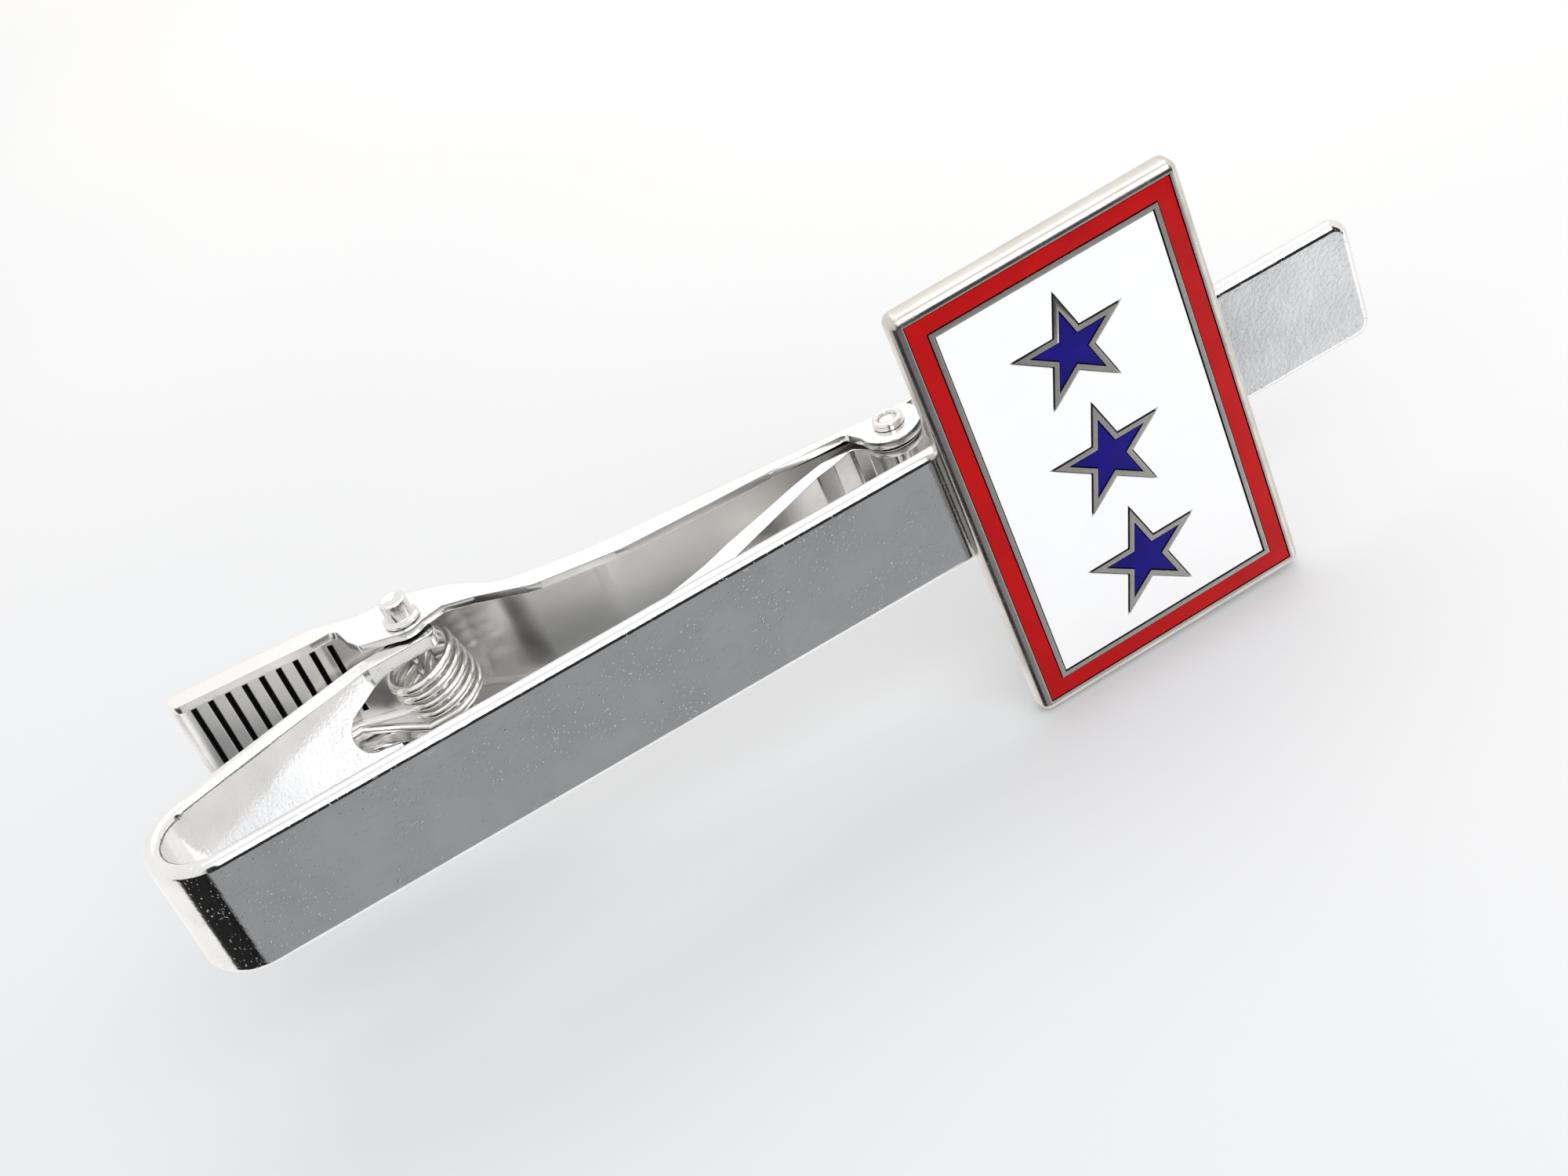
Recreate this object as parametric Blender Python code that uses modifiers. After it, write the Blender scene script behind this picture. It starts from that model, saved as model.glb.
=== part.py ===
"""Tie clip with an enamelled badge, modelled as it is worn.

The bar lies along X with its badge facing -Y. The tie goes between the back of the bar (the plane
y = 0) and the jaw shoe. Side-view outlines are drawn in X and Y and pulled out along Z, so they
need no turning. Lengths are in millimetres until a mesh is made, and every mesh is in metres.
"""

import math

import bmesh
import bpy
from mathutils import Matrix, Vector

MM = 0.001

# Bar: one strip that folds round at the left and comes back as a sloping arm.
BAR_THICK = 0.9
BAR_HALF_WIDTH = 3.2
BAR_RIGHT = 15.0
BAR_END_RADIUS = 0.9
BAR_EDGE_RADIUS = 0.22
FOLD_CENTRE = (-43.05, 2.15)
FOLD_OUTER = 3.05
ARM_SLOPE = math.radians(17.5)
ARM_BEND_X = -33.95
ARM_END_X = -30.15
ARM_HALF_WIDTH = 2.75
SLOT_LEFT = -35.8
SLOT_END_RADIUS = 1.3
SLOT_HALF_WIDTH = 2.0
SLOT_WIDE_X = -33.0

# Ears of the arm and the pivot pin.
PIVOT = (-31.15, 8.75)
EAR_RADIUS = 1.0
EAR_INNER = 2.35
PIVOT_RADIUS = 0.5
PIVOT_FIT = 0.02
PIVOT_RUNNING_FIT = 0.05
PIVOT_FLANGE_RADIUS = 0.9
PIVOT_FLANGE_HEIGHT = 0.25
PIVOT_HEAD_RADIUS = 0.68
PIVOT_HEAD_HEIGHT = 1.2

# Lever: one pressed sheet, a channel that is open toward the bar.
SHEET = 0.45
LEVER_HALF_WIDTH = 3.3
LEVER_INNER_HALF_WIDTH = 2.85
LEVER_CORNER = 0.55
LEVER_RIGHT = -5.9
LEVER_EAR_RADIUS = 1.5
PIVOT_EAR_RADIUS = 1.1
GRIP_CURL = (-42.2, 13.38)
GRIP_CURL_SLOPE = 0.78
VALLEY_COUNT = 9
VALLEY_FIRST = -41.62
VALLEY_PITCH = 0.87
VALLEY_DEPTH = 0.22
VALLEY_HALF = 0.14
VALLEY_REACH = 2.1
GROOVE_DEPTH = 0.15
GROOVE_HALF = 0.27
HOLLOW_CORNER = 0.4

# Jaw shoe and the eyelet pin that carries it.
SHOE_PIN = (-7.7, 2.9)
SHOE_PIN_RADIUS = 0.45
SHOE_PIN_FIT = 0.03
SHOE_PIN_HEAD = 0.75
SHOE_PIN_HEAD_HEIGHT = 0.35
SHOE_PIN_DIMPLE = 0.42
SHOE_HALF_WIDTH = 2.65
SHOE_INNER_HALF_WIDTH = 2.25
SHOE_BUMP_RADIUS = 1.33
SHOE_GAP = 0.05

# Torsion spring on the pivot pin.
WIRE = 0.44
COIL_CENTRE = (-31.15, 8.5, 0)
COIL_TILT = math.radians(12)
COIL_RADIUS = 1.75
COIL_TURNS = 4.5
COIL_PITCH = 0.6
COIL_STEPS = 14

# Badge: a plate with recesses for the enamel, and walls between them.
BADGE_CENTRE_Z = -0.415
BADGE_TILT = math.radians(1.0)
BADGE_FRONT = -2.38
BADGE_BACK = -1.04
BADGE_SIZE = (14.7, 23.04)
RIM = 0.52
RED_WIDTH = 0.92
SEPARATOR = 0.24
ENAMEL_DEPTH = 0.5
ENAMEL_GAP = 0.02
BADGE_CORNER = 0.35
BADGE_EDGE_RADIUS = 0.22
STAR_TIP = 2.92
STAR_WALL = 0.25
STAR_SPACING = 6.08
STAR_MIDDLE = -0.36
SOLDER_SIZE = (12.4, 5.2)
SOLDER_FRONT = -1.02
SOLDER_BACK = -0.92


def rounded(corners, steps=4):
    """A closed outline from (x, y, radius) corners. A corner with a radius becomes an arc."""
    points = []
    for index, (x, y, radius) in enumerate(corners):
        corner = Vector((x, y))
        if radius == 0:
            points.append(corner)
            continue
        before = (Vector(corners[index - 1][:2]) - corner).normalized()
        after = (Vector(corners[(index + 1) % len(corners)][:2]) - corner).normalized()
        half = before.angle(after) / 2
        centre = corner + (before + after).normalized() * radius / math.sin(half)
        start = corner + before * radius / math.tan(half) - centre
        end = corner + after * radius / math.tan(half) - centre
        turn = start.angle_signed(end)
        for step in range(steps + 1):
            points.append(centre + Matrix.Rotation(-turn * step / steps, 2) @ start)
    return [tuple(point) for point in points]


def arc(centre, radius, start, end, steps):
    """Corners without a radius along an arc, with its angles in degrees."""
    corners = []
    for step in range(steps + 1):
        angle = math.radians(start + (end - start) * step / steps)
        corners.append((centre[0] + radius * math.cos(angle), centre[1] + radius * math.sin(angle), 0))
    return corners


def rectangle(width, height, radius=0.0):
    """A rectangle about the origin, with round corners if a radius is given."""
    x = width / 2
    y = height / 2
    return rounded([(-x, -y, radius), (x, -y, radius), (x, y, radius), (-x, y, radius)])


def star(tip, centre_y, wall=0.0):
    """A five-pointed star with one tip up, with its edges moved in by the wall."""
    edge = tip * math.cos(math.radians(72))
    outer = tip * (edge - wall) / edge
    inner = outer * math.cos(math.radians(72)) / math.cos(math.radians(36))
    points = []
    for k in range(10):
        angle = math.radians(90 + 36 * k)
        radius = outer if k % 2 == 0 else inner
        points.append((radius * math.cos(angle), centre_y + radius * math.sin(angle)))
    return points


def mesh_from_curve(name, curve, collection):
    """Turn a curve drawn in millimetres into a welded mesh object in metres."""
    guide = bpy.data.objects.new(name + "_curve", curve)
    bpy.context.scene.collection.objects.link(guide)
    depsgraph = bpy.context.evaluated_depsgraph_get()
    mesh = bpy.data.meshes.new_from_object(guide.evaluated_get(depsgraph))
    mesh.name = name
    bpy.data.objects.remove(guide)
    bpy.data.curves.remove(curve)
    shape = bmesh.new()
    shape.from_mesh(mesh)
    bmesh.ops.remove_doubles(shape, verts=shape.verts, dist=0.0005)
    bmesh.ops.dissolve_limit(shape, angle_limit=math.radians(0.5), verts=shape.verts, edges=shape.edges)
    bmesh.ops.scale(shape, vec=(MM, MM, MM), verts=shape.verts)
    bmesh.ops.recalc_face_normals(shape, faces=shape.faces)
    shape.to_mesh(mesh)
    shape.free()
    obj = bpy.data.objects.new(name, mesh)
    collection.objects.link(obj)
    return obj


def prism(name, outlines, low, high, collection):
    """Pull closed outlines out along the local Z axis, from low to high."""
    curve = bpy.data.curves.new(name, "CURVE")
    curve.dimensions = "2D"
    curve.fill_mode = "BOTH"
    curve.extrude = (high - low) / 2
    for outline in outlines:
        spline = curve.splines.new("POLY")
        spline.points.add(len(outline) - 1)
        spline.use_cyclic_u = True
        for point, (x, y) in zip(spline.points, outline):
            point.co = (x, y, 0, 1)
    obj = mesh_from_curve(name, curve, collection)
    obj.location.z = (low + high) / 2 * MM
    return obj


def plan_prism(name, outline, y_low, y_high, collection):
    """Pull an outline drawn in X and Z out along Y."""
    obj = prism(name, [outline], -(y_high - y_low) / 2, (y_high - y_low) / 2, collection)
    obj.rotation_euler = (math.pi / 2, 0, 0)
    obj.location = (0, (y_low + y_high) / 2 * MM, 0)
    return obj


def rod(name, centre, radius, half_length, collection, sides=24):
    """A cylinder along Z about a point of the side view."""
    mesh = bpy.data.meshes.new(name)
    shape = bmesh.new()
    bmesh.ops.create_cone(
        shape,
        cap_ends=True,
        segments=sides,
        radius1=radius * MM,
        radius2=radius * MM,
        depth=2 * half_length * MM,
    )
    shape.to_mesh(mesh)
    shape.free()
    obj = bpy.data.objects.new(name, mesh)
    obj.location = (centre[0] * MM, centre[1] * MM, 0)
    collection.objects.link(obj)
    return obj


def turned(name, centre, profile, collection, sides=24):
    """A round piece about an axis along Z, from (radius, z) points that run top to bottom."""
    mesh = bpy.data.meshes.new(name)
    vertices = [(radius * MM, 0, z * MM) for radius, z in profile]
    edges = [(k, k + 1) for k in range(len(profile) - 1)]
    mesh.from_pydata(vertices, edges, [])
    obj = bpy.data.objects.new(name, mesh)
    obj.location = (centre[0] * MM, centre[1] * MM, 0)
    collection.objects.link(obj)
    screw = obj.modifiers.new("Turn", "SCREW")
    screw.axis = "Z"
    screw.steps = sides
    screw.render_steps = sides
    screw.use_merge_vertices = True
    screw.merge_threshold = 0.000001
    return obj


def combine(target, other, operation):
    """Add a Boolean modifier that uses another object."""
    modifier = target.modifiers.new(other.name, "BOOLEAN")
    modifier.operation = operation
    modifier.solver = "EXACT"
    modifier.object = other


def soften(obj, width, segments):
    """Round the sharp edges of an object."""
    bevel = obj.modifiers.new("Soft edges", "BEVEL")
    bevel.limit_method = "ANGLE"
    bevel.angle_limit = math.radians(60)
    bevel.width = width * MM
    bevel.segments = segments


def paint(obj, name, colour, roughness, metallic):
    """Give an object its own Principled material."""
    material = bpy.data.materials.new(name)
    material.use_nodes = True
    shader = material.node_tree.nodes["Principled BSDF"]
    shader.inputs["Base Color"].default_value = (*colour, 1)
    shader.inputs["Roughness"].default_value = roughness
    shader.inputs["Metallic"].default_value = metallic
    obj.data.materials.clear()
    obj.data.materials.append(material)


def axis_empty(name, place, collection, parent=None):
    """An empty on a joint axis."""
    empty = bpy.data.objects.new(name, None)
    collection.objects.link(empty)
    empty.location = (place[0] * MM, place[1] * MM, 0)
    if parent:
        hang(empty, parent)
    bpy.context.view_layer.update()
    return empty


def hang(obj, parent):
    """Parent an object and keep it where it is."""
    bpy.context.view_layer.update()
    obj.parent = parent
    obj.matrix_parent_inverse = parent.matrix_world.inverted()


def arm_height(x):
    """Y of the arm's outer face on its slope."""
    tangent_x = FOLD_CENTRE[0] - FOLD_OUTER * math.sin(ARM_SLOPE)
    tangent_y = FOLD_CENTRE[1] + FOLD_OUTER * math.cos(ARM_SLOPE)
    return tangent_y + (x - tangent_x) * math.tan(ARM_SLOPE)


def bar_outline():
    """Side view of the strip: front, fold, sloping arm and the level seat of the ears."""
    seat = arm_height(ARM_BEND_X)
    inner_bend_x = ARM_BEND_X + BAR_THICK * math.tan(ARM_SLOPE / 2)
    last = 90 + math.degrees(ARM_SLOPE)
    corners = [(BAR_RIGHT, -BAR_THICK, 0)]
    corners += arc(FOLD_CENTRE, FOLD_OUTER, 270, last, 18)
    corners += [(ARM_BEND_X, seat, 2.0), (ARM_END_X, seat, 0)]
    corners += [(ARM_END_X, seat - BAR_THICK, 0), (inner_bend_x, seat - BAR_THICK, 1.1)]
    corners += arc(FOLD_CENTRE, FOLD_OUTER - BAR_THICK, last, 270, 18)
    corners += [(BAR_RIGHT, 0, 0)]
    return rounded(corners)


def build_front_bar(parts, cutters):
    """The bar, its fold and the forked return arm with two pin ears."""
    bar = prism("front_bar", [bar_outline()], -BAR_HALF_WIDTH, BAR_HALF_WIDTH, parts)
    soften(bar, BAR_EDGE_RADIUS, 2)

    corner_x = BAR_RIGHT - BAR_END_RADIUS
    corner_z = BAR_HALF_WIDTH - BAR_END_RADIUS
    for side, name in ((1, "bar_corner_top"), (-1, "bar_corner_bottom")):
        corner = arc((corner_x, side * corner_z), BAR_END_RADIUS, 0, side * 90, 8)
        corner += [
            (corner_x, side * 4.0, 0),
            (BAR_RIGHT + 1.0, side * 4.0, 0),
            (BAR_RIGHT + 1.0, side * corner_z, 0),
        ]
        combine(bar, plan_prism(name, rounded(corner), -3, 3, cutters), "DIFFERENCE")

    for side, name in ((1, "arm_taper_trim_top"), (-1, "arm_taper_trim_bottom")):
        taper = [
            (-44.0, side * (BAR_HALF_WIDTH + 0.02)),
            (ARM_BEND_X, side * ARM_HALF_WIDTH),
            (-28.0, side * ARM_HALF_WIDTH),
            (-28.0, side * 5.0),
            (-44.0, side * 5.0),
        ]
        combine(bar, plan_prism(name, taper, 3.3, 12, cutters), "DIFFERENCE")

    slot = arc((SLOT_LEFT + SLOT_END_RADIUS, 0), SLOT_END_RADIUS, 100, 260, 12)
    slot += [(SLOT_WIDE_X, -SLOT_HALF_WIDTH, 2.0), (-28.0, -SLOT_HALF_WIDTH, 0)]
    slot += [(-28.0, SLOT_HALF_WIDTH, 0), (SLOT_WIDE_X, SLOT_HALF_WIDTH, 2.0)]
    combine(bar, plan_prism("arm_slot", rounded(slot), 5.3, 12, cutters), "DIFFERENCE")

    ear = arc(PIVOT, EAR_RADIUS, 0, 180, 14)
    ear += [(PIVOT[0] - EAR_RADIUS - 0.5, 7.7, 0), (PIVOT[0] + EAR_RADIUS, 7.7, 0)]
    for side, name in ((1, "ear_top"), (-1, "ear_bottom")):
        low, high = sorted((side * EAR_INNER, side * (ARM_HALF_WIDTH - 0.01)))
        combine(bar, prism(name, [rounded(ear)], low, high, cutters), "UNION")
    hole = rod("ear_holes", PIVOT, PIVOT_RADIUS + PIVOT_FIT, 4, cutters)
    combine(bar, hole, "DIFFERENCE")
    paint(bar, "bar_plate", (0.60, 0.60, 0.61), 0.12, 1.0)
    return bar


def web_corners():
    """Outer face of the lever's web from the grip to the tip, as (x, y, radius)."""
    return [
        (*GRIP_CURL, 1.2),
        (-34.9, 12.45, 1.1),
        (-32.9, 11.5, 1.0),
        (-30.4, 11.2, 1.5),
        (-28.3, 9.95, 2.0),
        (-26.2, 7.85, 3.0),
        (-22.1, 6.65, 4.0),
        (-16.2, 5.85, 8.0),
    ]


def web_line(depth, left, right):
    """Points of the web's outer face moved in by a depth, run out past both ends."""
    corners = [(left, GRIP_CURL[1] - (GRIP_CURL[0] - left) * GRIP_CURL_SLOPE, 0)] + web_corners()
    corners += [(right, 5.85 - (right + 16.2) * 0.1612, 0)]
    smooth = [Vector(point) for point in rounded(corners)]
    moved = []
    for index, point in enumerate(smooth):
        before = smooth[max(index - 1, 0)]
        after = smooth[min(index + 1, len(smooth) - 1)]
        along = (after - before).normalized()
        moved.append((point.x + along.y * depth, point.y - along.x * depth))
    return moved


def height_on(line, x):
    """Y of a left-to-right line of points at x."""
    for (x0, y0), (x1, y1) in zip(line, line[1:]):
        if x0 <= x <= x1:
            return y0 + (y1 - y0) * (x - x0) / (x1 - x0)
    return line[-1][1]


def valley_places():
    """X of each valley across the grip."""
    return [VALLEY_FIRST + VALLEY_PITCH * k for k in range(VALLEY_COUNT)]


def valley_outlines():
    """Narrow valleys across the inner face of the grip, cut up into the web."""
    inner = web_line(SHEET, -44.5, -4.5)
    outlines = []
    for x in valley_places():
        left = height_on(inner, x - VALLEY_HALF)
        right = height_on(inner, x + VALLEY_HALF)
        outline = [(x - VALLEY_HALF, left - 0.5), (x + VALLEY_HALF, right - 0.5), (x + VALLEY_HALF, right - 0.01)]
        outline += [(x, height_on(inner, x) + VALLEY_DEPTH), (x - VALLEY_HALF, left - 0.01)]
        outlines.append(outline)
    return outlines


def groove_outlines():
    """Shallow grooves across the outer face of the grip, halfway between the valleys."""
    outer = web_line(0.0, -44.5, -4.5)
    outlines = []
    for x in [place + VALLEY_PITCH / 2 for place in valley_places()[:-2]]:
        left = height_on(outer, x - GROOVE_HALF)
        right = height_on(outer, x + GROOVE_HALF)
        outline = [(x - GROOVE_HALF, left + 0.01), (x, height_on(outer, x) - GROOVE_DEPTH)]
        outline += [(x + GROOVE_HALF, right + 0.01), (x + GROOVE_HALF, 15.0), (x - GROOVE_HALF, 15.0)]
        outlines.append(outline)
    return outlines


def lever_side():
    """Side view that trims the lever: open above the web, and the free edge of its flanges."""
    corners = [(-43.05, 15.5, 0), (LEVER_RIGHT, 15.5, 0), (LEVER_RIGHT, 3.75, 0.3)]
    corners += arc(SHOE_PIN, LEVER_EAR_RADIUS, 30, -180, 14)
    corners += [
        (-9.6, 3.88, 0.5),
        (-13.4, 4.3, 4.0),
        (-16.4, 4.45, 4.0),
        (-21.1, 4.8, 4.0),
        (-25.3, 5.85, 2.5),
        (-27.9, 7.5, 1.0),
        (-29.3, 8.15, 0.4),
    ]
    corners += arc(PIVOT, PIVOT_EAR_RADIUS, -50, -130, 6)
    corners += [
        (-33.5, 8.6, 0.4),
        (-33.85, 9.4, 0.5),
        (-34.1, 10.9, 0.5),
        (-35.4, 10.9, 0.5),
        (-42.35, 11.75, 0.5),
    ]
    return rounded(corners)


def build_lever(parts, cutters):
    """The sprung lever: ridged grip, spring housing, channel arm and the ears of the shoe."""
    block = web_line(0.0, -44.5, -4.5) + [(-4.5, 0.4), (-44.5, 0.4)]
    lever = prism("lever", [block], -LEVER_HALF_WIDTH, LEVER_HALF_WIDTH, parts)
    soften(lever, LEVER_CORNER, 3)
    side = prism("lever_side_trim", [lever_side()], -5, 5, cutters)
    combine(lever, side, "INTERSECT")

    hollow = web_line(SHEET, -44.5, -4.5) + [(-4.5, -0.5), (-44.5, -0.5)]
    inner = LEVER_INNER_HALF_WIDTH
    hollow = prism("lever_hollow", [hollow], -inner, inner, cutters)
    soften(hollow, HOLLOW_CORNER, 2)
    combine(lever, hollow, "DIFFERENCE")
    for number, outline in enumerate(valley_outlines()):
        valley = prism("grip_valley_%d" % number, [outline], -VALLEY_REACH, VALLEY_REACH, cutters)
        combine(lever, valley, "DIFFERENCE")
    for number, outline in enumerate(groove_outlines()):
        combine(lever, prism("grip_groove_%d" % number, [outline], -4, 4, cutters), "DIFFERENCE")

    pivot_hole = rod("lever_pivot_hole", PIVOT, PIVOT_RADIUS + PIVOT_RUNNING_FIT, 4, cutters)
    combine(lever, pivot_hole, "DIFFERENCE")
    shoe_hole = rod("lever_shoe_hole", SHOE_PIN, SHOE_PIN_RADIUS + 0.02, 4, cutters)
    combine(lever, shoe_hole, "DIFFERENCE")
    paint(lever, "lever_plate", (0.66, 0.65, 0.64), 0.16, 1.0)
    return lever


def shoe_outline():
    """Side view of the shoe: two wings with flat feet, and a bump round the pin."""
    corners = [
        (-20.6, SHOE_GAP, 0),
        (-20.6, 0.55, 0.15),
        (-18.4, 1.2, 1.5),
        (-17.1, 1.76, 1.0),
        (-14.7, 2.6, 1.0),
        (-13.0, 3.22, 1.0),
        (-11.3, 3.72, 1.0),
        (-9.4, 4.0, 0.5),
        (-6.1, 3.35, 0.5),
        (-2.9, 2.85, 0.8),
        (-1.3, 1.75, 0.8),
        (0.4, 1.15, 1.0),
        (2.5, 0.55, 0.15),
        (2.5, SHOE_GAP, 0),
        (0.2, SHOE_GAP, 0.6),
        (-1.9, 1.3, 1.0),
        (-3.7, 2.15, 1.0),
        (-5.9, 2.75, 0.2),
    ]
    corners += arc(SHOE_PIN, SHOE_BUMP_RADIUS, -10, -170, 12)
    corners += [
        (-9.7, 3.45, 0.2),
        (-10.8, 3.09, 0.5),
        (-11.75, 2.88, 0.8),
        (-13.9, 1.95, 1.0),
        (-15.65, 1.2, 1.0),
        (-18.2, SHOE_GAP, 0.6),
    ]
    return rounded(corners)


def build_jaw_shoe(parts, cutters):
    """The swivelling shoe: a sheet channel whose two feet press the tie on the bar."""
    half = SHOE_HALF_WIDTH
    shoe = prism("jaw_shoe", [shoe_outline()], -half, half, parts)
    left = [
        (-22.0, SHOE_GAP + SHEET),
        (-18.35, SHOE_GAP + SHEET),
        (-15.83, 1.62),
        (-14.08, 2.37),
        (-11.9, 3.31),
        (-10.9, 3.53),
        (-10.9, 5.5),
        (-22.0, 5.5),
    ]
    right = [
        (4.0, SHOE_GAP + SHEET),
        (4.0, 5.5),
        (-4.9, 5.5),
        (-4.9, 3.1),
        (-3.5, 2.6),
        (-1.7, 1.72),
        (0.35, SHOE_GAP + SHEET),
    ]
    under = [(-9.3, 0.5), (-6.1, 0.5), (-6.1, 2.6), (-7.0, 3.38), (-8.4, 3.42), (-9.3, 2.7)]
    inner = SHOE_INNER_HALF_WIDTH
    for name, outline in (("shoe_hollow_left", left), ("shoe_hollow_right", right), ("shoe_under_pin", under)):
        combine(shoe, prism(name, [outline], -inner, inner, cutters), "DIFFERENCE")
    hole = rod("shoe_hole", SHOE_PIN, SHOE_PIN_RADIUS + SHOE_PIN_FIT, 4, cutters)
    combine(shoe, hole, "DIFFERENCE")
    paint(shoe, "shoe_plate", (0.70, 0.70, 0.70), 0.18, 1.0)
    return shoe


def build_pivot_pin(parts):
    """A plain pin with a round flange and a cylinder head on each side of the lever."""
    seat = LEVER_HALF_WIDTH + 0.03
    top = seat + PIVOT_HEAD_HEIGHT
    flange = seat + PIVOT_FLANGE_HEIGHT
    profile = [
        (0, top),
        (PIVOT_HEAD_RADIUS - 0.08, top),
        (PIVOT_HEAD_RADIUS, top - 0.08),
        (PIVOT_HEAD_RADIUS, flange),
        (PIVOT_FLANGE_RADIUS, flange - 0.1),
        (PIVOT_FLANGE_RADIUS, seat),
        (PIVOT_RADIUS, seat),
    ]
    profile += [(radius, -z) for radius, z in reversed(profile)]
    pin = turned("pivot_pin", PIVOT, profile, parts)
    paint(pin, "pivot_plate", (0.62, 0.61, 0.60), 0.2, 1.0)
    return pin


def build_shoe_pin(parts):
    """An eyelet pin: a shank with a dimpled head on each side."""
    seat = LEVER_HALF_WIDTH + 0.03
    top = seat + SHOE_PIN_HEAD_HEIGHT
    profile = [
        (0, top - 0.25),
        (SHOE_PIN_DIMPLE - 0.12, top - 0.25),
        (SHOE_PIN_DIMPLE, top),
        (SHOE_PIN_HEAD - 0.15, top),
        (SHOE_PIN_HEAD, top - 0.15),
        (SHOE_PIN_HEAD, seat),
        (SHOE_PIN_RADIUS, seat),
    ]
    profile += [(radius, -z) for radius, z in reversed(profile)]
    pin = turned("shoe_pin", SHOE_PIN, profile, parts, 20)
    paint(pin, "eyelet_plate", (0.72, 0.71, 0.70), 0.16, 1.0)
    return pin


def spring_route():
    """Arm leg, coil and grip leg of the torsion spring, as points in millimetres."""
    half = COIL_TURNS * COIL_PITCH / 2
    route = [
        (-37.4, arm_height(-37.4) + 0.29, -0.3),
        (-35.3, arm_height(-35.3) + 0.31, -0.5),
        (-33.7, 7.8, -1.2),
        (-32.4, 7.05, -1.55),
    ]
    lean = Matrix.Rotation(-COIL_TILT, 3, "Y")
    total = int(COIL_TURNS * COIL_STEPS)
    for step in range(total + 1):
        angle = math.radians(-90 + 360 * COIL_TURNS * step / total)
        along = -half + 2 * half * step / total
        place = Vector((COIL_RADIUS * math.cos(angle), COIL_RADIUS * math.sin(angle), along))
        route.append(tuple(Vector(COIL_CENTRE) + lean @ place))
    route += [(-33.0, 10.62, 1.0), (-34.6, 11.28, 0.4), (-36.8, 11.9, -0.5)]
    return route


def build_torsion_spring(parts):
    """A coil on the pivot pin whose legs press the arm and the grip apart."""
    curve = bpy.data.curves.new("torsion_spring", "CURVE")
    curve.dimensions = "3D"
    curve.bevel_depth = WIRE / 2
    curve.bevel_resolution = 2
    curve.use_fill_caps = True
    route = spring_route()
    spline = curve.splines.new("POLY")
    spline.points.add(len(route) - 1)
    for point, place in zip(spline.points, route):
        point.co = (*place, 1)
    spring = mesh_from_curve("torsion_spring", curve, parts)
    paint(spring, "spring_wire", (0.55, 0.54, 0.53), 0.25, 1.0)
    return spring


def build_badge(parts, cutters):
    """The badge plate, its enamel fills and the solder behind it."""
    frame = bpy.data.objects.new("badge_frame", None)
    parts.objects.link(frame)
    frame.location = (0, 0, BADGE_CENTRE_Z * MM)
    frame.rotation_euler = (math.pi / 2, -BADGE_TILT, 0)

    front = -BADGE_FRONT
    floor = front - ENAMEL_DEPTH
    width, height = BADGE_SIZE
    red_outer = (width - 2 * RIM, height - 2 * RIM)
    red_inner = (red_outer[0] - 2 * RED_WIDTH, red_outer[1] - 2 * RED_WIDTH)
    field = (red_inner[0] - 2 * SEPARATOR, red_inner[1] - 2 * SEPARATOR)
    star_heights = (STAR_MIDDLE + STAR_SPACING, STAR_MIDDLE, STAR_MIDDLE - STAR_SPACING)
    star_names = ("blue_enamel_star_upper", "blue_enamel_star_middle", "blue_enamel_star_lower")

    def fills(gap):
        """Name, outlines and colour of every enamel fill, each inset by a gap."""
        red = [
            rectangle(red_outer[0] - 2 * gap, red_outer[1] - 2 * gap),
            rectangle(red_inner[0] + 2 * gap, red_inner[1] + 2 * gap),
        ]
        white = [rectangle(field[0] - 2 * gap, field[1] - 2 * gap)]
        white += [star(STAR_TIP, y, -gap) for y in star_heights]
        found = [
            ("red_enamel_border", red, (0.60, 0.004, 0.005)),
            ("white_enamel_field", white, (0.90, 0.90, 0.90)),
        ]
        for name, y in zip(star_names, star_heights):
            found.append((name, [star(STAR_TIP, y, STAR_WALL + gap)], (0.010, 0.004, 0.30)))
        return found

    plate = prism("badge_plate", [rectangle(width, height, BADGE_CORNER)], -BADGE_BACK, front, parts)
    soften(plate, BADGE_EDGE_RADIUS, 2)
    plate.parent = frame
    paint(plate, "badge_metal", (0.62, 0.60, 0.57), 0.2, 1.0)
    for name, outlines, colour in fills(0.0):
        cutter = prism(name + "_recess", outlines, floor, front + 1, cutters)
        cutter.parent = frame
        combine(plate, cutter, "DIFFERENCE")
    for name, outlines, colour in fills(ENAMEL_GAP):
        enamel = prism(name, outlines, floor + ENAMEL_GAP, front - ENAMEL_GAP, parts)
        enamel.parent = frame
        paint(enamel, name + "_gloss", colour, 0.08, 0.0)

    pad = rectangle(*SOLDER_SIZE, 0.5)
    solder = plan_prism("badge_solder", pad, SOLDER_FRONT, SOLDER_BACK, parts)
    paint(solder, "solder_metal", (0.35, 0.34, 0.33), 0.45, 1.0)
    return frame


def shade(collection):
    """Shade the faces smooth and keep the sharp edges."""
    for obj in collection.objects:
        if obj.type == "MESH" and obj.data.polygons:
            obj.data.shade_smooth()
            obj.data.set_sharp_from_angle(angle=math.radians(30))


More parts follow.
